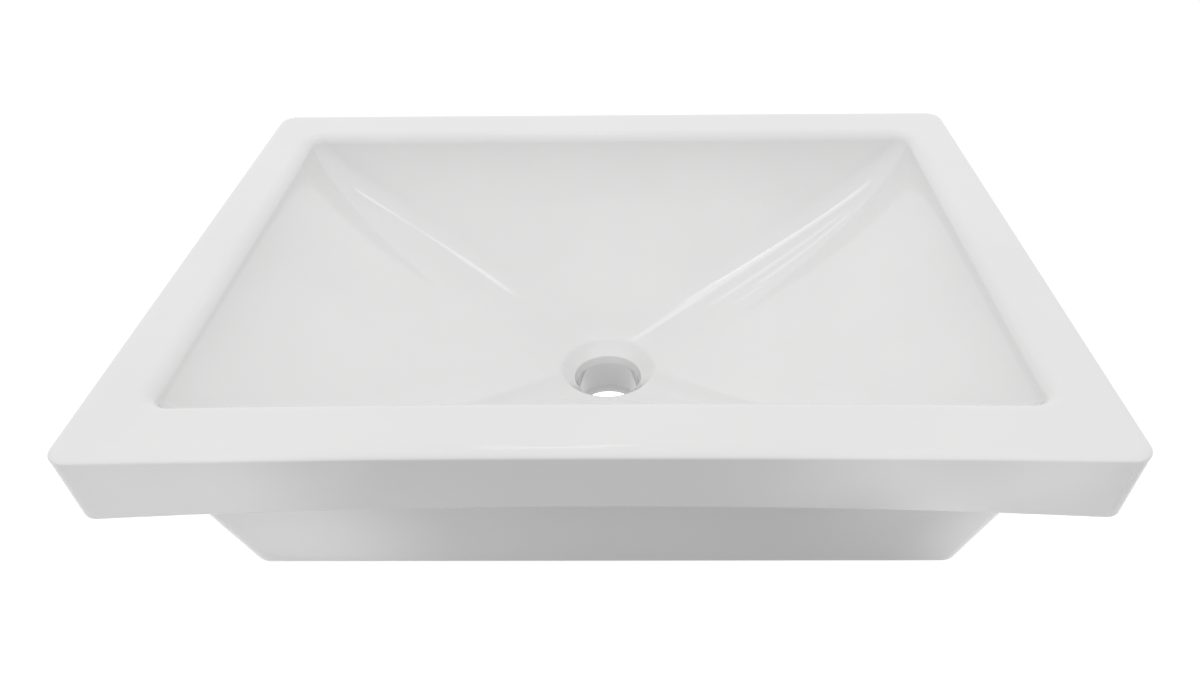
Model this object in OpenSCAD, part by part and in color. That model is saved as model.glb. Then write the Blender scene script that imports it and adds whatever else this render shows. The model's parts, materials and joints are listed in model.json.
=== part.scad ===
// Rectangular countertop basin. It is one glazed ceramic casting, drawn here as the sections that
// it is formed from: a hollow rim slab, a bowl of four concave walls that meet in valleys, a thick
// outlet collar, a tapered base and a ground foot. Millimetres, +Z up. The origin is at the middle
// of the foot, on the surface that the basin stands on, and the front faces -Y.

/* [Overall] */
// Length of the slab, left to right
slab_w = 555; // [505:5:620]
// Depth of the slab, front to back
slab_d = 425; // [400:5:485]
// Height from the standing surface to the deck
total_h = 150; // [138:1:175]

/* [Rim slab] */
// Height of the apron at the ends of the slab
slab_h = 46; // [42:1:56]
// How far the apron's lower edge arches up at the middle of the slab's length
ledge_arch = 9; // [0:0.5:12]
// How far the apron draws in from its top to its bottom, on each side
slab_draft = 3; // [1:0.5:6]
// Corner radius of the slab in plan
slab_corner_r = 9; // [7:0.5:16]
// Rounding of the slab's upper edge
slab_top_round = 2.5; // [1.5:0.5:5]
// Rounding of the slab's lower edge
slab_bottom_round = 2; // [1.5:0.5:5]
// Thickness of the deck, the apron and the ledge under the slab
slab_wall = 9; // [7:0.5:10.5]
// Width of the rim at the left and right, out to the slab's edge
rim_side_w = 36; // [33:0.5:46]
// Width of the rim at the front and back, out to the slab's edge
rim_front_w = 44.5; // [41:0.5:50]

/* [Bowl] */
// Thickness of the bowl's shell
bowl_wall = 8.5; // [7:0.5:10]
// Power of the walls' curve: a smaller one starts steeper under the rim and ends flatter
wall_power = 0.6; // [0.54:0.01:0.68]
// Corner radius of the bowl in plan, at the rim
bowl_corner_r = 10; // [6:0.5:16]
// Corner radius of the bowl in plan, along the valleys
valley_r = 40; // [20:1:46]
// Share of a valley's length over which it becomes the round outlet
valley_blend_share = 0.35; // [0.25:0.01:0.45]
// Width of the rolled edge at the left and right
roll_side_w = 11; // [8:0.5:16]
// Width of the rolled edge at the front and back
roll_front_w = 9.5; // [6:0.5:12]
// Height of the rolled edge's curve
roll_h = 9; // [6:0.5:12]

/* [Outlet] */
// Diameter of the bore that takes the waste
bore_d = 46; // [43:0.5:50]
// Length of the straight bore
bore_len = 21.5; // [17:0.5:26]
// How far the steep throat over the bore widens on its way up
throat_w = 1.4; // [0.8:0.2:3]
// Height of the throat
throat_h = 6; // [4:0.5:8]
// Width of the conical recess that the waste's flange sits in
recess_w = 11; // [8:0.5:14]
// Height of the recess
recess_h = 9; // [6:0.5:11]
// Height of the collar's underside above the standing surface
outlet_clear = 6.5; // [3:0.5:10]
// Chamfer round the foot of the collar
collar_chamfer = 2; // [1:0.5:3]

/* [Base] */
// How far the foot stands in from the slab's edge at the left and right
base_inset_side = 51; // [46:0.5:64]
// How far the foot stands in from the slab's edge at the front and back
base_inset_front = 65.5; // [60:0.5:67]
// How far each wall of the base leans out on its way up to the slab
base_flare = 26.5; // [24:0.5:32]
// Corner radius of the base in plan
base_corner_r = 14; // [12.5:0.5:20]
// Thickness of the base's walls
base_wall = 9; // [7:0.5:10.5]
// Height of the unglazed foot
foot_h = 6; // [5:0.5:10]
// Rounding of the foot's outer edge
foot_round = 1.5; // [1:0.5:4]

/* [Cradle webs] */
// Distance of each web from the middle of the basin
web_x = 120; // [90:5:150]
// Thickness of a web
web_t = 9; // [7:0.5:12]
// Height of a web's lower edge above the standing surface
web_clear = 14; // [11:1:25]

/* [Smoothness] */
// Facets in each rounded corner
corner_steps = 12; // [8:1:16]
// Sections down each bowl wall
bowl_steps = 18; // [12:1:24]
// Straight pieces that the arched edge is drawn with
arch_steps = 12; // [8:1:16]

/* [Hidden] */

glaze = [0.93, 0.93, 0.925];
bisque = [0.86, 0.83, 0.77];

// Gap between the outlet's round side and the faceted hole that it is set in
seam_gap = 0.1;
// Shortest straight left between two corner arcs, so that no facet has zero length
least_side = 0.4;
// Smallest corner radius in plan, for the hollow inside the slab
least_corner_r = 1;
// Facets of the turned outlet
turned_fn = 144;
// Power of the arch under the apron: 2 is a parabola, and a larger one is flatter in the middle
arch_power = 2.2;
// Power that crowds the wall's sections towards the rim, where it curves most
crowd_power = 1.6;
// Power that keeps the rim's tight corner close to the rim
corner_power = 4;

slab_x = slab_w / 2;
slab_y = slab_d / 2;
ledge_z = total_h - slab_h;

// Radii of the outlet, from the bore outwards
bore_r = bore_d / 2;
throat_r = bore_r + throat_w;
collar_r = throat_r + recess_w;

// Heights of the outlet, from the collar's underside up to the foot of the bowl's walls
bore_top_z = outlet_clear + bore_len;
throat_z = bore_top_z + throat_h;
collar_z = throat_z + recess_h;
bowl_depth = total_h - collar_z;

// Half sizes of the bowl at the rim, and of the base's outside at the foot and under the slab
bowl_x = slab_x - rim_side_w;
bowl_y = slab_y - rim_front_w;
foot_x = slab_x - base_inset_side;
foot_y = slab_y - base_inset_front;

// How far inside its sharp corner the middle of a unit corner arc lies, along each axis
corner_cut = 1 - sqrt(1 / 2);

// Plan position of a valley at its two ends
rim_valley_x = bowl_x - corner_cut * bowl_corner_r;
rim_valley_y = bowl_y - corner_cut * bowl_corner_r;
collar_valley = collar_r * (1 - corner_cut);
mean_run = (rim_valley_x + rim_valley_y) / 2 - collar_valley;

// The rolled edge turns this far over before it runs into the wall
roll_turn = 70;
roll_steps = 6;
edge_steps = 6;
roll_mean_w = (roll_side_w + roll_front_w) / 2;

function mix(low, high, share) = low + (high - low) * share;
function limit(value) = min(max(value, 0), 1);
function soft_step(share) = share * share * (3 - 2 * share);

// A section is [height, half length, half depth, corner radius]. The walls of the bowl are
// sections at u, which is 1 at the rim and 0 at the round outlet.
function bowl_corner(u) =
    mix(
        mix(valley_r, bowl_corner_r, pow(u, corner_power)),
        collar_r,
        soft_step(limit(1 - u / valley_blend_share))
    );

function bowl_section(u) =
    let (r = bowl_corner(u))
    [
        total_h - bowl_depth * pow(1 - u, wall_power),
        mix(collar_valley, rim_valley_x, u) + corner_cut * r,
        mix(collar_valley, rim_valley_y, u) + corner_cut * r,
        r
    ];

// Slope of the wall at u, in degrees from level
function wall_slope(u) = atan(bowl_depth * wall_power * pow(1 - u, wall_power - 1) / mean_run);

function shell_section(u) =
    let (s = bowl_section(u), out = bowl_wall * sin(wall_slope(u)))
    [s[0] - bowl_wall * cos(wall_slope(u)), s[1] + out, s[2] + out, s[3] + out];

// The wall starts where the rolled edge ends
roll_drop = roll_h * (1 - cos(roll_turn));
wall_start = pow(roll_drop / bowl_depth, 1 / wall_power);
wall_top = bowl_section(1 - wall_start);

function roll_section(turn) =
    let (back = sin(roll_turn) - sin(turn))
    [
        total_h - roll_h * (1 - cos(turn)),
        wall_top[1] + roll_side_w * back,
        wall_top[2] + roll_front_w * back,
        wall_top[3] + roll_mean_w * back
    ];

deck_edge = roll_section(0);

// Section through the base's outside or inside, drawn in from its outer face
function base_section(z, inset) =
    let (lean = base_flare * z / ledge_z - inset)
    [z, foot_x + lean, foot_y + lean, base_corner_r - inset];

// Section of the slab, drawn in by its draft and by the rounding of an edge
function slab_section(z, draft, rounding) =
    let (inset = draft + rounding)
    [z, slab_x - inset, slab_y - inset, max(slab_corner_r - rounding, least_corner_r)];

// The same section, lifted at the middle of the slab's length by the arch
function arched(section) = [each section, ledge_arch];

function apron_inset(z) = slab_draft * (total_h - slab_top_round - z) / (slab_h - slab_top_round);

// Points round a section. A section with an arch has points along its two long sides as well.
function ring(s, side_steps) =
    let (
        r = min(s[3], s[1] - least_side, s[2] - least_side),
        arch = is_undef(s[4]) ? 0 : s[4]
    )
    [
        for (corner = [0:3])
            let (
                side_x = (corner == 0 || corner == 3) ? 1 : -1,
                side_y = (corner < 2) ? 1 : -1,
                middle_x = s[1] - r,
                middle_y = s[2] - r
            )
            each concat(
                [
                    for (step = [0:corner_steps])
                        let (
                            turn = 90 * (corner + step / corner_steps),
                            x = side_x * middle_x + r * cos(turn),
                            y = side_y * middle_y + r * sin(turn)
                        )
                        [x, y, s[0] + arch_rise(x, arch)]
                ],
                (corner % 2 == 1) ? [] : [
                    for (step = [1:1:side_steps - 1])
                        let (x = mix(side_x, -side_x, step / side_steps) * middle_x)
                        [x, side_y * s[2], s[0] + arch_rise(x, arch)]
                ]
            )
    ];

function arch_rise(x, arch) = arch * (1 - pow(abs(x) / slab_x, arch_power));
function ring_size(side_steps) = 4 * (corner_steps + 1) + 2 * (side_steps - 1);

// Faces between two rings of points, given by the first index of each
function band(low, high, size) = [
    for (i = [0:size - 1])
        let (next = (i + 1) % size)
        each [[low + i, low + next, high + next], [low + i, high + next, high + i]]
];

// Closed hoop through a loop of sections, listed down its outer side and up its inner side
module hoop(sections, side_steps = 1) {
    size = ring_size(side_steps);
    count = len(sections);
    faces = [for (i = [0:count - 1]) each band(((i + 1) % count) * size, i * size, size)];
    polyhedron(
        points = [for (s = sections) each ring(s, side_steps)],
        faces = [for (f = faces) reverse(f)],
        convexity = 6
    );
}

// Solid block through sections listed from the top down
module block(sections) {
    size = ring_size(1);
    last = len(sections) - 1;
    faces = [
        [for (i = [0:size - 1]) i],
        for (i = [0:last - 1]) each band((i + 1) * size, i * size, size),
        [for (i = [size - 1:-1:0]) last * size + i]
    ];
    polyhedron(
        points = [for (s = sections) each ring(s, 1)],
        faces = [for (f = faces) reverse(f)],
        convexity = 6
    );
}

function reverse(list) = [for (i = [len(list) - 1:-1:0]) list[i]];

// Outside of the bowl's shell, from under the deck down to the collar. It leaves the deck where u is
// shell_start, and its lower edge grips the collar over a little more than the shell's thickness.
shell_start = 0.95;
shell_steps = 10;
grip_z = collar_z - 1.4 * bowl_wall;
shell_sections = [
    [total_h - slab_wall, deck_edge[1], deck_edge[2], deck_edge[3]],
    for (i = [0:shell_steps]) shell_section(shell_start * (1 - i / shell_steps)),
    [grip_z, collar_r, collar_r, collar_r]
];

// Hollow slab: deck, drafted apron, and the ledge that slopes down to the base from the arched edge
module rim_slab() {
    apron_low = apron_inset(ledge_z + slab_bottom_round);
    ledge_inner = base_section(ledge_z, base_wall);
    top_edge = [
        for (i = [0:edge_steps])
            let (turn = 90 * i / edge_steps)
            slab_section(
                total_h - slab_top_round * (1 - cos(turn)),
                0,
                slab_top_round * (1 - sin(turn))
            )
    ];
    bottom_edge = [
        for (i = [0:edge_steps])
            let (turn = 90 * i / edge_steps)
            arched(slab_section(
                ledge_z + slab_bottom_round * (1 - sin(turn)),
                apron_low,
                slab_bottom_round * (1 - cos(turn))
            ))
    ];
    color(glaze)
        hoop(
            concat(
                [deck_edge],
                top_edge,
                bottom_edge,
                [
                    base_section(ledge_z, 0),
                    ledge_inner,
                    [ledge_z + slab_wall, ledge_inner[1], ledge_inner[2], ledge_inner[3]],
                    arched(slab_section(ledge_z + slab_wall, apron_low, slab_wall)),
                    slab_section(total_h - slab_wall, 0, slab_wall),
                    [total_h - slab_wall, deck_edge[1], deck_edge[2], deck_edge[3]]
                ]
            ),
            arch_steps
        );
}

// Thin shell: rolled edge and four concave walls, whose valleys widen into the round outlet
module bowl() {
    inside = concat(
        [for (i = [0:roll_steps - 1]) roll_section(roll_turn * i / roll_steps)],
        [
            for (i = [0:bowl_steps])
                bowl_section(1 - mix(wall_start, 1, pow(i / bowl_steps, crowd_power)))
        ]
    );
    color(glaze)
        hoop(concat(shell_sections, reverse(inside)));
}

// Collar with the conical recess, the steep throat and the true bore
module drain_outlet() {
    side_r = collar_r - seam_gap;
    color(glaze)
        rotate_extrude($fn = turned_fn)
            polygon([
                [side_r, collar_z],
                [throat_r, throat_z],
                [bore_r, bore_top_z],
                [bore_r, outlet_clear],
                [side_r - collar_chamfer, outlet_clear],
                [side_r, outlet_clear + collar_chamfer]
            ]);
}

// Tapered wall between the foot and the slab, open below
module base_skirt() {
    color(glaze)
        hoop([
            base_section(ledge_z, 0),
            base_section(foot_h, 0),
            base_section(foot_h, base_wall),
            base_section(ledge_z, base_wall)
        ]);
}

// Ground foot with a rounded outer edge and a flat face to stand on
module foot_ring() {
    outer_edge = [
        for (i = [0:edge_steps])
            let (turn = 90 * i / edge_steps)
            base_section(foot_round * (1 - sin(turn)), foot_round * (1 - cos(turn)))
    ];
    color(bisque)
        hoop(concat(
            [base_section(foot_h, 0)],
            outer_edge,
            [base_section(0, base_wall), base_section(foot_h, base_wall)]
        ));
}

// Two upright walls that carry the bowl on the front and back of the base
module cradle_webs() {
    color(glaze)
        for (side = [-1, 1])
            difference() {
                intersection() {
                    translate([side * web_x - web_t / 2, -slab_y, web_clear])
                        cube([web_t, slab_d, ledge_z - web_clear]);
                    block([base_section(ledge_z, base_wall), base_section(foot_h, base_wall)]);
                }
                block(shell_sections);
            }
}

rim_slab();
bowl();
drain_outlet();
base_skirt();
foot_ring();
cradle_webs();
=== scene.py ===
import json
import math
from collections import namedtuple

import bmesh
import bpy
from mathutils import Matrix, Vector


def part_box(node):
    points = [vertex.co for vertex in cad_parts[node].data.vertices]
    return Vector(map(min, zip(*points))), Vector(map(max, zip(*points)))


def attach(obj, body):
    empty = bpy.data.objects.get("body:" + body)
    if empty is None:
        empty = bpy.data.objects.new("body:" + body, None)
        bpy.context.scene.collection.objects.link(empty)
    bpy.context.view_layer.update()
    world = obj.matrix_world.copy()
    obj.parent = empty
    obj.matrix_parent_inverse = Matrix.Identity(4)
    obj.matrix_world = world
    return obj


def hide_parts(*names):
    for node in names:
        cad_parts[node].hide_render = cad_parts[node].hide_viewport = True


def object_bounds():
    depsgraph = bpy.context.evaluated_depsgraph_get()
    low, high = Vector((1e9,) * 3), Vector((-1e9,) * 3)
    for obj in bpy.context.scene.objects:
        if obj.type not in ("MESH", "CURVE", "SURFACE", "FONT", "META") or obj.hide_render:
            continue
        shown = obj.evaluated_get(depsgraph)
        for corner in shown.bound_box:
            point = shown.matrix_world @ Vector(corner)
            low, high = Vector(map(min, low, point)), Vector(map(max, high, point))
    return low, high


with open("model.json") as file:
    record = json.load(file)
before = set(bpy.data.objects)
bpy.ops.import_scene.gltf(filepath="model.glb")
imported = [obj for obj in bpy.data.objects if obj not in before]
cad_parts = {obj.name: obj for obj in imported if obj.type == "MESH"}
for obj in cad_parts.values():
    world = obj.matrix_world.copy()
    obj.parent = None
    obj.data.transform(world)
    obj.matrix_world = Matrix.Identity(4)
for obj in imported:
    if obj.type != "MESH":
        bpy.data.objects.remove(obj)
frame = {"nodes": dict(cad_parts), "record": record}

cad_low, cad_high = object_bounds()

# Sizes are in metres. The frame gives what it can; the rest are the sizes that its boxes don't show.
MM = 0.001

deck_z = cad_high.z
slab_x = cad_high.x
slab_y = cad_high.y
ledge_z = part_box("base_skirt")[1].z
collar_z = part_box("drain_outlet")[1].z
collar_low_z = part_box("drain_outlet")[0].z
base_top_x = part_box("base_skirt")[1].x
base_top_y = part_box("base_skirt")[1].y
foot_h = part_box("foot_ring")[1].z
drain_bore = next(m for m in frame["record"]["mounts"] if m["name"] == "drain_bore")
bore_r = drain_bore["dims"]["r_mm"] * MM

# Rim slab
ledge_arch = 9 * MM
arch_power = 2.2
slab_draft = 3 * MM
slab_corner_r = 12 * MM
slab_least_r = 1 * MM
slab_top_round = 2.5 * MM
slab_top_ease = 9 * MM
slab_bottom_round = 2 * MM
slab_wall = 9 * MM
rim_side_w = 36 * MM
rim_front_w = 44.5 * MM
front_bow = 3.5 * MM

# Bowl
bowl_wall = 8.5 * MM
wall_power = 0.6
bowl_corner_r = 10 * MM
valley_r = 40 * MM
valley_blend_share = 0.35
corner_power = 4
roll_side_w = 11 * MM
roll_front_w = 9.5 * MM
roll_h = 9 * MM
roll_turn = math.radians(70)
shell_top_u = 0.95
shell_end_drop = 1.4 * bowl_wall

# Outlet
throat_w = 1.4 * MM
throat_h = 6 * MM
recess_w = 11 * MM
recess_h = 9 * MM
recess_round = 8 * MM
throat_round = 1 * MM
seam_gap = 0.1 * MM
collar_round = 2 * MM
bore_round = 1 * MM
bore_face_reach = 0.1 * MM

# Base
base_flare = 26.5 * MM
base_corner_r = 14 * MM
base_wall = 9 * MM
foot_round = 1.5 * MM
ledge_fillet = 2.5 * MM

throat_r = bore_r + throat_w
throat_z = collar_z - recess_h
collar_r = throat_r + recess_w
bore_top_z = throat_z - throat_h
bowl_depth = deck_z - collar_z
bowl_x = slab_x - rim_side_w
bowl_y = slab_y - rim_front_w
corner_cut = 1 - math.sqrt(0.5)
rim_valley_x = bowl_x - corner_cut * bowl_corner_r
rim_valley_y = bowl_y - corner_cut * bowl_corner_r
collar_valley = collar_r * (1 - corner_cut)
mean_run = (rim_valley_x + rim_valley_y) / 2 - collar_valley

# Mesh density
QUARTER_POINTS = 44
WALL_SECTIONS = 90
SHELL_SECTIONS = 40
ROUND_STEPS = 12
FILLET_STEPS = 8
TURNED_POINTS = 176

# How the points are spread: the least share of a ring that lies on its arcs, how much the points of a
# ring crowd towards the arcs and the bowl's sections towards the rim, and the shares of a flat face at
# which it gets a section, so that its smooth shading stays flat.
LEAST_ARC_SHARE = 0.42
SIDE_CROWDING = 1.5
WALL_CROWDING = 1.6
SLAB_SHARES = (0.03, 0.5, 0.97)
SKIRT_SHARES = (0.02, 0.5, 0.98)

# Divides in place of the sides' length where a ring is round and they have none
NO_LENGTH = 1e-9

# Edges sharper than these stay crisp
HOOP_CREASE = math.radians(35)
TURNED_CREASE = math.radians(11)

# Upright component of a normal below which a face counts as facing down
FACES_DOWN = -0.99

# Signs of a ring's corners, anticlockwise. A quarter runs from the middle of one side to the next.
CORNER_SIGNS = ((1, 1), (-1, 1), (-1, -1), (1, -1))

# Level outline of a piece: its height, half length, half depth and corner radius, and how much higher
# it is at the middle of its length than at the slab's ends.
Section = namedtuple("Section", "z x y r arch", defaults=[0])


def mix(low, high, share):
    return low + (high - low) * share


def soft_step(share):
    share = min(max(share, 0), 1)
    return share * share * (3 - 2 * share)


def bowl_section(u):
    """Section of the bowl's inside: u is 1 at the rim and 0 at the round outlet."""
    tight = mix(valley_r, bowl_corner_r, u**corner_power)
    r = mix(tight, collar_r, soft_step(1 - u / valley_blend_share))
    return Section(
        deck_z - bowl_depth * (1 - u) ** wall_power,
        mix(collar_valley, rim_valley_x, u) + corner_cut * r,
        mix(collar_valley, rim_valley_y, u) + corner_cut * r,
        r,
    )


def wall_slope(u):
    return math.atan(bowl_depth * wall_power * (1 - u) ** (wall_power - 1) / mean_run)


def shell_section(u):
    """The same section moved out through the shell."""
    inside = bowl_section(u)
    down = bowl_wall * math.cos(wall_slope(u))
    out = bowl_wall * math.sin(wall_slope(u))
    return Section(inside.z - down, inside.x + out, inside.y + out, inside.r + out)


wall_start = (roll_h * (1 - math.cos(roll_turn)) / bowl_depth) ** (1 / wall_power)
wall_top = bowl_section(1 - wall_start)


def roll_section(turn):
    """Section of the rolled edge between the deck and the wall."""
    back = math.sin(roll_turn) - math.sin(turn)
    return Section(
        deck_z - roll_h * (1 - math.cos(turn)),
        wall_top.x + roll_side_w * back,
        wall_top.y + roll_front_w * back,
        wall_top.r + (roll_side_w + roll_front_w) / 2 * back,
    )


def slab_section(z, draft, rounding, arch=0):
    inset = draft + rounding
    return Section(z, slab_x - inset, slab_y - inset, max(slab_corner_r - rounding, slab_least_r), arch)


def base_section(z, inset, arch=0):
    lean = base_flare * (z - ledge_z) / ledge_z - inset
    return Section(z, base_top_x + lean, base_top_y + lean, base_corner_r - inset, arch)


def between(low, high, shares):
    return [Section(*(mix(a, b, share) for a, b in zip(low, high))) for share in shares]


def quarter_turns(steps):
    return [math.pi / 2 * i / steps for i in range(steps + 1)]


def bowed_in(point):
    """How far the rim's front bows inwards: most along the deck, at the middle of the rim's length."""
    along = max(1 - (point.x / (slab_x - slab_corner_r)) ** 2, 0)
    up = min(max((point.z - ledge_z) / (deck_z - ledge_z), 0), 1)
    return front_bow * along * up * soft_step(-2 * point.y / bowl_y - 1)


def ring(section):
    """Points round a section. The arcs always get a fair share of them, so quads stay even."""
    r = min(section.r, section.x, section.y)
    side_x, side_y, arc = section.x - r, section.y - r, math.pi / 2 * r
    arc_share = max(arc / (side_y + side_x + arc), LEAST_ARC_SHARE)
    share_y = (1 - arc_share) * side_y / max(side_y + side_x, NO_LENGTH)
    share_x = (1 - arc_share) - share_y
    quarters = ((side_y, side_x, share_y), (side_x, side_y, share_x))
    points = []
    for corner, (sign_x, sign_y) in enumerate(CORNER_SIGNS):
        first, second, share_first = quarters[corner % 2]
        share_second = 1 - arc_share - share_first
        centre = Vector((side_x * sign_x, side_y * sign_y, section.z))
        out = Vector((math.cos(math.pi / 2 * corner), math.sin(math.pi / 2 * corner), 0))
        along = Vector((-out.y, out.x, 0))
        for i in range(QUARTER_POINTS):
            t = i / QUARTER_POINTS
            if t < share_first:
                back = (1 - t / share_first) ** SIDE_CROWDING
                point = centre + out * r - along * first * back
            elif t <= share_first + arc_share:
                turn = math.pi / 2 * (t - share_first) / arc_share
                point = centre + (out * math.cos(turn) + along * math.sin(turn)) * r
            else:
                gone = ((t - share_first - arc_share) / share_second) ** SIDE_CROWDING
                point = centre + along * r - out * second * gone
            point.z += section.arch * (1 - (abs(point.x) / slab_x) ** arch_power)
            point.y += bowed_in(point)
            points.append(point)
    return points


def new_object(name, data):
    obj = bpy.data.objects.new(name, data)
    bpy.context.scene.collection.objects.link(obj)
    return obj


def mesh_object(name, bm):
    mesh = bpy.data.meshes.new(name)
    bm.to_mesh(mesh)
    bm.free()
    return new_object(name, mesh)


def closed_loop(name, rows, crease):
    """Smooth closed tube through a loop of rings with the same number of points, riding on the root."""
    bm = bmesh.new()
    rows = [[bm.verts.new(point) for point in row] for row in rows]
    count = len(rows[0])
    for low, high in zip(rows, rows[1:] + rows[:1]):
        for i in range(count):
            j = (i + 1) % count
            bm.faces.new((low[i], low[j], high[j], high[i]))
    bmesh.ops.recalc_face_normals(bm, faces=bm.faces)
    for face in bm.faces:
        face.smooth = True
    for edge in bm.edges:
        edge.smooth = edge.calc_face_angle(0) < crease
    obj = mesh_object(name, bm)
    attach(obj, "root")
    return obj


def hoop(name, sections):
    return closed_loop(name, [ring(section) for section in sections], HOOP_CREASE)


def turned(name, profile):
    """Ring turned round the Z axis from a loop of (radius, height) points."""
    turns = [2 * math.pi * i / TURNED_POINTS for i in range(TURNED_POINTS)]
    return closed_loop(name, [
        [(r * math.cos(turn), r * math.sin(turn), z) for turn in turns]
        for r, z in profile
    ], TURNED_CREASE)


# Materials

def principled(name, color, roughness):
    material = bpy.data.materials.new(name)
    material.use_nodes = True
    nodes = material.node_tree.nodes
    shader = nodes["Principled BSDF"]
    shader.inputs["Roughness"].default_value = roughness
    shader.inputs["Base Color"].default_value = (*color, 1)
    return material, nodes, material.node_tree.links, shader


def cloudy(nodes, links, scale, detail):
    """Cloudy pattern that is fixed to the piece."""
    place = nodes.new("ShaderNodeTexCoord")
    noise = nodes.new("ShaderNodeTexNoise")
    noise.inputs["Scale"].default_value = scale
    noise.inputs["Detail"].default_value = detail
    links.new(place.outputs["Object"], noise.inputs["Vector"])
    return noise.outputs["Fac"]


def tint(nodes, links, shader, pattern, stops):
    """Base colour that follows a pattern: a stop is a value of the pattern and its colour."""
    ramp = nodes.new("ShaderNodeValToRGB")
    for element, (position, color) in zip(ramp.color_ramp.elements, stops):
        element.position = position
        element.color = (*color, 1)
    links.new(pattern, ramp.inputs["Fac"])
    links.new(ramp.outputs["Color"], shader.inputs["Base Color"])


def relief(nodes, links, shader, pattern, strength, distance):
    """Small unevenness of the surface that follows a pattern."""
    bump = nodes.new("ShaderNodeBump")
    bump.inputs["Strength"].default_value = strength
    bump.inputs["Distance"].default_value = distance
    links.new(pattern, bump.inputs["Height"])
    links.new(bump.outputs["Normal"], shader.inputs["Normal"])


GLAZE_CLOUDINESS = 0.01
GLAZE_BLUE_SHARE = 0.996


def glaze_material(name, shade):
    """Glossy white glaze: a faint cloudiness in its colour, and a slow waviness in its surface."""
    material, nodes, links, shader = principled(name, (shade, shade, shade), roughness=0.07)
    shader.inputs["IOR"].default_value = 1.5
    shader.inputs["Coat Weight"].default_value = 0.4
    shader.inputs["Coat Roughness"].default_value = 0.03
    stops = [
        (position, (tone, tone, tone * GLAZE_BLUE_SHARE))
        for position, tone in ((0.35, shade - GLAZE_CLOUDINESS), (0.65, shade + GLAZE_CLOUDINESS))
    ]
    tint(nodes, links, shader, cloudy(nodes, links, scale=9, detail=3), stops)
    wave = cloudy(nodes, links, scale=22, detail=1)
    relief(nodes, links, shader, wave, strength=0.06, distance=0.002)
    return material


def bisque_material(name):
    """Ground, unglazed clay: warm, dull, with fine grain."""
    material, nodes, links, shader = principled(name, (0.72, 0.68, 0.6), roughness=0.85)
    grain = cloudy(nodes, links, scale=900, detail=4)
    tint(nodes, links, shader, grain, ((0, (0.62, 0.58, 0.5)), (1, (0.78, 0.75, 0.68))))
    relief(nodes, links, shader, grain, strength=0.4, distance=0.0003)
    return material


white_glaze = glaze_material("white_glaze", shade=0.84)
# Darker glaze for the bore's faces: painted shade down in the bore, below the throat
painted_bore_shade_glaze = glaze_material("painted_bore_shade_glaze", shade=0.7)
bare_clay = bisque_material("bare_clay")


# Rim slab: deck, drafted apron with its arched lower edge, and ledge, hollow inside

def make_rim_slab():
    apron_low = slab_draft * (1 - slab_bottom_round / (deck_z - ledge_z - slab_top_round))
    deck_edge = roll_section(0)
    top_edge = [
        slab_section(deck_z - slab_top_round * (1 - math.cos(t)), 0, slab_top_ease * (1 - math.sin(t)))
        for t in quarter_turns(ROUND_STEPS)
    ]
    bottom_edge = [
        slab_section(
            ledge_z + slab_bottom_round * (1 - math.sin(t)),
            apron_low,
            slab_bottom_round * (1 - math.cos(t)),
            ledge_arch,
        )
        for t in quarter_turns(ROUND_STEPS)
    ]
    ledge_outer = base_section(ledge_z, 0)
    ledge_inner = base_section(ledge_z, base_wall)
    return hoop("rim_slab_glazed", [
        deck_edge,
        *between(deck_edge, top_edge[0], SLAB_SHARES),
        *top_edge,
        *between(top_edge[-1], bottom_edge[0], SLAB_SHARES),
        *bottom_edge,
        *between(bottom_edge[-1], ledge_outer, SLAB_SHARES),
        ledge_outer,
        ledge_inner,
        ledge_inner._replace(z=ledge_z + slab_wall),
        slab_section(ledge_z + slab_wall, apron_low, slab_wall, ledge_arch),
        slab_section(deck_z - slab_wall, 0, slab_wall),
        deck_edge._replace(z=deck_z - slab_wall),
    ])


# Bowl: rolled edge and four concave walls, whose valleys widen into the round outlet

def make_bowl():
    shell = [roll_section(0)._replace(z=deck_z - slab_wall)]
    for i in range(SHELL_SECTIONS + 1):
        shell.append(shell_section(shell_top_u * (1 - i / SHELL_SECTIONS)))
    shell.append(Section(collar_z - shell_end_drop, collar_r, collar_r, collar_r))
    inside = [roll_section(roll_turn * i / ROUND_STEPS) for i in range(ROUND_STEPS)]
    for i in range(WALL_SECTIONS + 1):
        inside.append(bowl_section(1 - mix(wall_start, 1, (i / WALL_SECTIONS) ** WALL_CROWDING)))
    return hoop("bowl_glazed", shell + inside[::-1])


# Outlet: conical recess with an eased upper edge, steep throat and bore

def arc_down(r, z, radius, start, end):
    """Points of a convex arc that starts at (r, z), runs inwards and steepens from one slope to another."""
    points = []
    for i in range(ROUND_STEPS + 1):
        slope = mix(start, end, i / ROUND_STEPS)
        points.append((
            r - radius * (math.sin(slope) - math.sin(start)),
            z - radius * (math.cos(start) - math.cos(slope)),
        ))
    return points


def make_outlet():
    wall_end = wall_slope(0)
    centre_r = collar_r + recess_round * math.sin(wall_end)
    centre_z = collar_z - recess_round * math.cos(wall_end)
    run, rise = centre_r - throat_r, centre_z - throat_z
    cone = math.atan2(rise, run) + math.asin(recess_round / math.hypot(run, rise))
    throat = math.atan2(throat_h, throat_w)
    ease = throat_round * math.tan((throat - cone) / 2)
    ease_r = throat_r + ease * math.cos(cone)
    ease_z = throat_z + ease * math.sin(cone)
    side_r = collar_r - seam_gap
    profile = [
        *arc_down(collar_r, collar_z, recess_round, wall_end, cone),
        *arc_down(ease_r, ease_z, throat_round, cone, throat),
        (bore_r, bore_top_z),
    ]
    for t in quarter_turns(ROUND_STEPS):
        profile.append((
            bore_r + bore_round * (1 - math.cos(t)),
            collar_low_z + bore_round * (1 - math.sin(t)),
        ))
    for t in quarter_turns(ROUND_STEPS):
        profile.append((
            side_r - collar_round * (1 - math.sin(t)),
            collar_low_z + collar_round * (1 - math.cos(t)),
        ))
    profile.append((side_r, collar_z - 2 * seam_gap))
    return turned("drain_outlet_glazed", profile)


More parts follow.
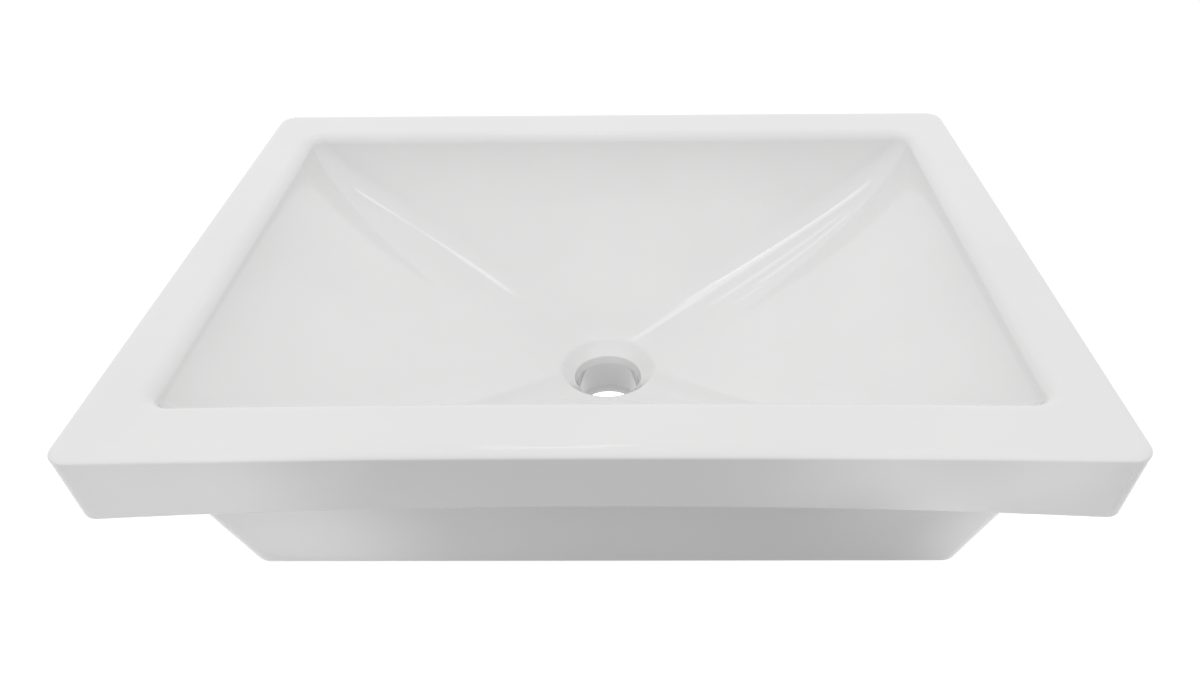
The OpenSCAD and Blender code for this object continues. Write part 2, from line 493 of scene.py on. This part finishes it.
# Base: tapered walls with a small fillet, which meets the ledge's slope

def make_base_skirt():
    ledge_run = slab_y - slab_draft - slab_bottom_round - base_top_y
    fillet = []
    for t in quarter_turns(FILLET_STEPS):
        out = ledge_fillet * (1 - math.sin(t)) ** 2
        z = ledge_z - ledge_fillet * math.sin(t)
        fillet.append(base_section(z, -out, ledge_arch * out / ledge_run))
    outer_low = base_section(foot_h, 0)
    inner_low = base_section(foot_h, base_wall)
    inner_top = base_section(ledge_z, base_wall)
    return hoop("base_skirt_glazed", [
        base_section(ledge_z, 0),
        *fillet,
        *between(fillet[-1], outer_low, SKIRT_SHARES),
        outer_low,
        inner_low,
        *between(inner_low, inner_top, SKIRT_SHARES),
        inner_top,
    ])


# Foot: eased outer edge, flat bare face underneath

def make_foot_ring():
    edge = [
        base_section(foot_round * (1 - math.sin(t)), foot_round * (1 - math.cos(t)))
        for t in quarter_turns(ROUND_STEPS)
    ]
    return hoop("foot_ring_ground", [
        base_section(foot_h, 0),
        *edge,
        base_section(0, base_wall),
        base_section(foot_h, base_wall),
    ])


def finish_piece(obj, node, slot, *materials):
    for material in materials:
        obj.data.materials.append(material)
    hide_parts(node)
    return obj


def give_second_material(obj, wanted):
    for face in obj.data.polygons:
        if wanted(face):
            face.material_index = 1


finish_piece(make_rim_slab(), "rim_slab", "glaze", white_glaze)
finish_piece(make_bowl(), "bowl", "glaze", white_glaze)
outlet = finish_piece(make_outlet(), "drain_outlet", "glaze", white_glaze, painted_bore_shade_glaze)
finish_piece(make_base_skirt(), "base_skirt", "glaze", white_glaze)
foot = finish_piece(make_foot_ring(), "foot_ring", "bisque", white_glaze, bare_clay)
# The bore's faces take the darker glaze: painted shade in the hole
give_second_material(outlet, lambda face: face.center.xy.length < bore_r + bore_face_reach)
give_second_material(foot, lambda face: face.normal.z < FACES_DOWN)

webs = frame["nodes"]["cradle_webs"]
webs.data.materials.clear()
webs.data.materials.append(white_glaze)


# Camera, fitted to the outline, the rim, the base and the outlet in the photograph
IMAGE_W, IMAGE_H = 1200, 675
FOCAL_PX = 969.25
CENTRE_PX = (621.0, 324.81)
CAMERA_AT = Vector((17.99, -562.21, 481.19)) * MM
PITCH, YAW, ROLL = math.radians(35.481), math.radians(-0.803), math.radians(-0.704)
SENSOR_W_MM = 36
NEAREST, FARTHEST = 0.01, 50


def make_camera():
    data = bpy.data.cameras.new("camera")
    camera = new_object("camera", data)
    bpy.context.scene.camera = camera
    ahead = Vector((
        math.sin(YAW) * math.cos(PITCH),
        math.cos(YAW) * math.cos(PITCH),
        -math.sin(PITCH),
    ))
    right = Vector((math.cos(YAW), -math.sin(YAW), 0))
    up = right.cross(ahead)
    turned_right = right * math.cos(ROLL) + up * math.sin(ROLL)
    turned_up = up * math.cos(ROLL) - right * math.sin(ROLL)
    camera.matrix_world = Matrix.Translation(CAMERA_AT) @ Matrix(
        (turned_right, turned_up, -ahead)
    ).transposed().to_4x4()
    data.sensor_width = SENSOR_W_MM
    data.lens = FOCAL_PX * data.sensor_width / IMAGE_W
    data.shift_x = (IMAGE_W / 2 - CENTRE_PX[0]) / IMAGE_W
    data.shift_y = (CENTRE_PX[1] - IMAGE_H / 2) / IMAGE_W
    data.clip_start = NEAREST
    data.clip_end = FARTHEST


make_camera()


# Stage: white floor and backdrop in soft light that is strongest from above

def math_node(nodes, links, operation, *inputs):
    """Math node whose inputs are sockets or plain numbers."""
    node = nodes.new("ShaderNodeMath")
    node.operation = operation
    for socket, value in zip(node.inputs, inputs):
        if isinstance(value, (int, float)):
            socket.default_value = value
        else:
            links.new(value, socket)
    return node.outputs[0]


def seen_directly(nodes, links):
    """1 for rays from the camera and for their mirror and see-through bounces, and 0 for soft light."""
    path = nodes.new("ShaderNodeLightPath")
    mirrored = math_node(
        nodes, links, "MAXIMUM", path.outputs["Is Glossy Ray"], path.outputs["Is Transmission Ray"]
    )
    return math_node(nodes, links, "MAXIMUM", path.outputs["Is Camera Ray"], mirrored)


# The floor lies just under the foot. Where it is seen it glows white. Under the hollow base it glows less,
# a painted shadow, and in the spot that shows through the bore it glows more, a painted pool of light.
FLOOR_HALF_W = 6
FLOOR_DROP = 0.0002
FLOOR_COLOR = (0.27, 0.27, 0.27)
FLOOR_GLOW = 0.9
# Painted shadow: the floor's lower glow under the hollow base, out to the middle of the base's wall
PAINTED_SHADOW_GLOW = 0.39
# Painted pool of light: the floor's extra glow in a spot a little wider than the bore, right under it
PAINTED_LIGHT_SPOT_GLOW = 1.2
painted_shadow_x = base_top_x - base_flare - base_wall / 2
painted_shadow_y = base_top_y - base_flare - base_wall / 2
painted_light_spot_r = bore_r + 0.5 * MM


def floor_material():
    material, nodes, links, shader = principled("pale_floor", FLOOR_COLOR, roughness=0.9)
    shader.inputs["Specular IOR Level"].default_value = 0
    place = nodes.new("ShaderNodeTexCoord")
    split = nodes.new("ShaderNodeSeparateXYZ")
    links.new(place.outputs["Object"], split.inputs["Vector"])
    away_x = math_node(nodes, links, "ABSOLUTE", split.outputs["X"])
    away_y = math_node(nodes, links, "ABSOLUTE", split.outputs["Y"])
    # Painted shadow: mask of the floor under the hollow base
    inside_x = math_node(nodes, links, "LESS_THAN", away_x, painted_shadow_x)
    inside_y = math_node(nodes, links, "LESS_THAN", away_y, painted_shadow_y)
    in_painted_shadow = math_node(nodes, links, "MULTIPLY", inside_x, inside_y)
    reach = nodes.new("ShaderNodeVectorMath")
    reach.operation = "LENGTH"
    links.new(place.outputs["Object"], reach.inputs[0])
    # Painted pool of light: mask of the spot under the bore
    in_painted_light_spot = math_node(nodes, links, "LESS_THAN", reach.outputs["Value"], painted_light_spot_r)
    glow = math_node(nodes, links, "MULTIPLY_ADD", in_painted_shadow, PAINTED_SHADOW_GLOW - FLOOR_GLOW, FLOOR_GLOW)
    glow = math_node(nodes, links, "MULTIPLY_ADD", in_painted_light_spot, PAINTED_LIGHT_SPOT_GLOW, glow)
    glow = math_node(nodes, links, "MULTIPLY", glow, seen_directly(nodes, links))
    emission = nodes.new("ShaderNodeEmission")
    total = nodes.new("ShaderNodeAddShader")
    links.new(glow, emission.inputs["Strength"])
    links.new(shader.outputs["BSDF"], total.inputs[0])
    links.new(emission.outputs["Emission"], total.inputs[1])
    links.new(total.outputs["Shader"], nodes["Material Output"].inputs["Surface"])
    return material


def make_floor():
    bm = bmesh.new()
    bmesh.ops.create_grid(bm, x_segments=1, y_segments=1, size=FLOOR_HALF_W)
    floor = mesh_object("floor", bm)
    floor.location.z = -FLOOR_DROP
    floor.data.materials.append(floor_material())


# Soft light from the world: its mean strength, how much it changes from one side to the other, and the
# side that it is brightest on
WORLD_MEAN = 0.6
WORLD_SWING = 0.43
BRIGHT_SIDE = Vector((-0.12, 0.05, 1)).normalized()
WHITE = (1, 1, 1, 1)


def make_world():
    world = bpy.data.worlds.new("studio")
    bpy.context.scene.world = world
    world.use_nodes = True
    nodes, links = world.node_tree.nodes, world.node_tree.links
    soft = nodes["Background"]
    soft.inputs["Color"].default_value = WHITE
    place = nodes.new("ShaderNodeTexCoord")
    lean = nodes.new("ShaderNodeVectorMath")
    lean.operation = "DOT_PRODUCT"
    lean.inputs[1].default_value = BRIGHT_SIDE
    links.new(place.outputs["Generated"], lean.inputs[0])
    strength = math_node(nodes, links, "MULTIPLY_ADD", lean.outputs["Value"], WORLD_SWING, WORLD_MEAN)
    links.new(strength, soft.inputs["Strength"])
    backdrop = nodes.new("ShaderNodeBackground")
    backdrop.inputs["Color"].default_value = WHITE
    backdrop.inputs["Strength"].default_value = 1
    choose = nodes.new("ShaderNodeMixShader")
    links.new(seen_directly(nodes, links), choose.inputs["Fac"])
    links.new(soft.outputs["Background"], choose.inputs[1])
    links.new(backdrop.outputs["Background"], choose.inputs[2])
    links.new(choose.outputs["Shader"], nodes["World Output"].inputs["Surface"])


def add_area(name, at, towards, size, watts, shape="RECTANGLE"):
    data = bpy.data.lights.new(name, "AREA")
    data.shape = shape
    data.size, data.size_y = size
    data.energy = watts
    light = new_object(name, data)
    light.location = at
    light.rotation_euler = (Vector(towards) - Vector(at)).to_track_quat("-Z", "Y").to_euler()
    light.visible_camera = False
    return light


def add_glint(name, at, size, glow, turn):
    """Small level lamp that is there for its mirror image in the bowl, turned about the upright axis."""
    area = math.pi / 4 * size[0] * size[1]
    light = add_area(name, at, (at[0], at[1], 0), size, glow * math.pi * area, "ELLIPSE")
    light.rotation_euler.z += math.radians(turn)


def add_soft_lamp(name, at, facing, size, watts, spread=180):
    """Lamp close to the basin that leaves no mirror image of itself in the glaze."""
    light = add_area(name, at, Vector(at) + Vector(facing), size, watts)
    light.visible_glossy = False
    light.data.spread = math.radians(spread)


# Lamps that draw the valleys' highlights: name, place, size, glow, turn in degrees
GLINTS = (
    ("right_valley_glint", (-0.18, 0.77, 1.5), (0.3, 0.16), 1.2, 0),
    ("left_valley_glint", (-0.022, 0.445, 0.9), (0.125, 0.038), 1.7, 35),
    ("upper_streak", (-0.48, 1.88, 2.5), (0.22, 0.14), 1, 0),
    ("lower_streak", (-0.214, 1.145, 1.2), (0.06, 0.1), 0.9, 0),
    ("short_streak", (-0.213, 1.03, 1), (0.03, 0.08), 0.8, 0),
)

# Lamps that shade the front from its middle to its ends: place, sideways lean, spread in degrees, watts
FRONT_LAMPS = (
    ((-0.22, -0.31, 0.14), -0.5, 100, 0.005),
    ((-0.18, -0.31, 0.14), 0, 60, 0.0017),
    ((-0.18, -0.31, 0.02), 0, 60, 0.0027),
    ((-0.18, -0.36, 0.02), 0.5, 100, 0.0123),
    ((-0.18, -0.36, 0.02), -0.5, 100, 0.0272),
    ((0.16, -0.27, 0.14), -0.5, 60, 0.0007),
    ((0.16, -0.31, 0.14), -0.5, 60, 0.0008),
    ((0.16, -0.27, 0.14), 0.5, 100, 0.0021),
    ((0.16, -0.27, 0.08), 0.5, 100, 0.0044),
    ((0.2, -0.31, 0.14), 0.5, 60, 0.0026),
    ((0.2, -0.36, 0.02), 0.5, 60, 0.0265),
)
FRONT_LAMP_SIZE = (0.04, 0.04)

# Lamps in and over the outlet, and under it: name, place, direction, size, watts, spread in degrees
OUTLET_LAMPS = (
    ("outlet_lamp", (0, -0.09, 0.22), (0, 0.1, -0.184), (0.02, 0.02), 0.00045, 18),
    ("throat_lamp", (0, -0.012, 0.036), (0, 1, 0), (0.034, 0.004), 0.00006, 25),
    ("under_lamp", (0, 0, 0.002), (0, 0, 1), (0.036, 0.036), 0.002, 180),
)

make_floor()
make_world()
add_area("overhead", at=(0, 0.1, 1.5), towards=(0, 0, 0.1), size=(1.6, 1.1), watts=0.5)
for glint in GLINTS:
    add_glint(*glint)
for number, (place, lean, spread, watts) in enumerate(FRONT_LAMPS, 1):
    add_soft_lamp(f"front_{number}", place, (lean, 1, 0), FRONT_LAMP_SIZE, watts, spread)
for lamp in OUTLET_LAMPS:
    add_soft_lamp(*lamp)

bpy.context.scene.view_settings.view_transform = "Standard"
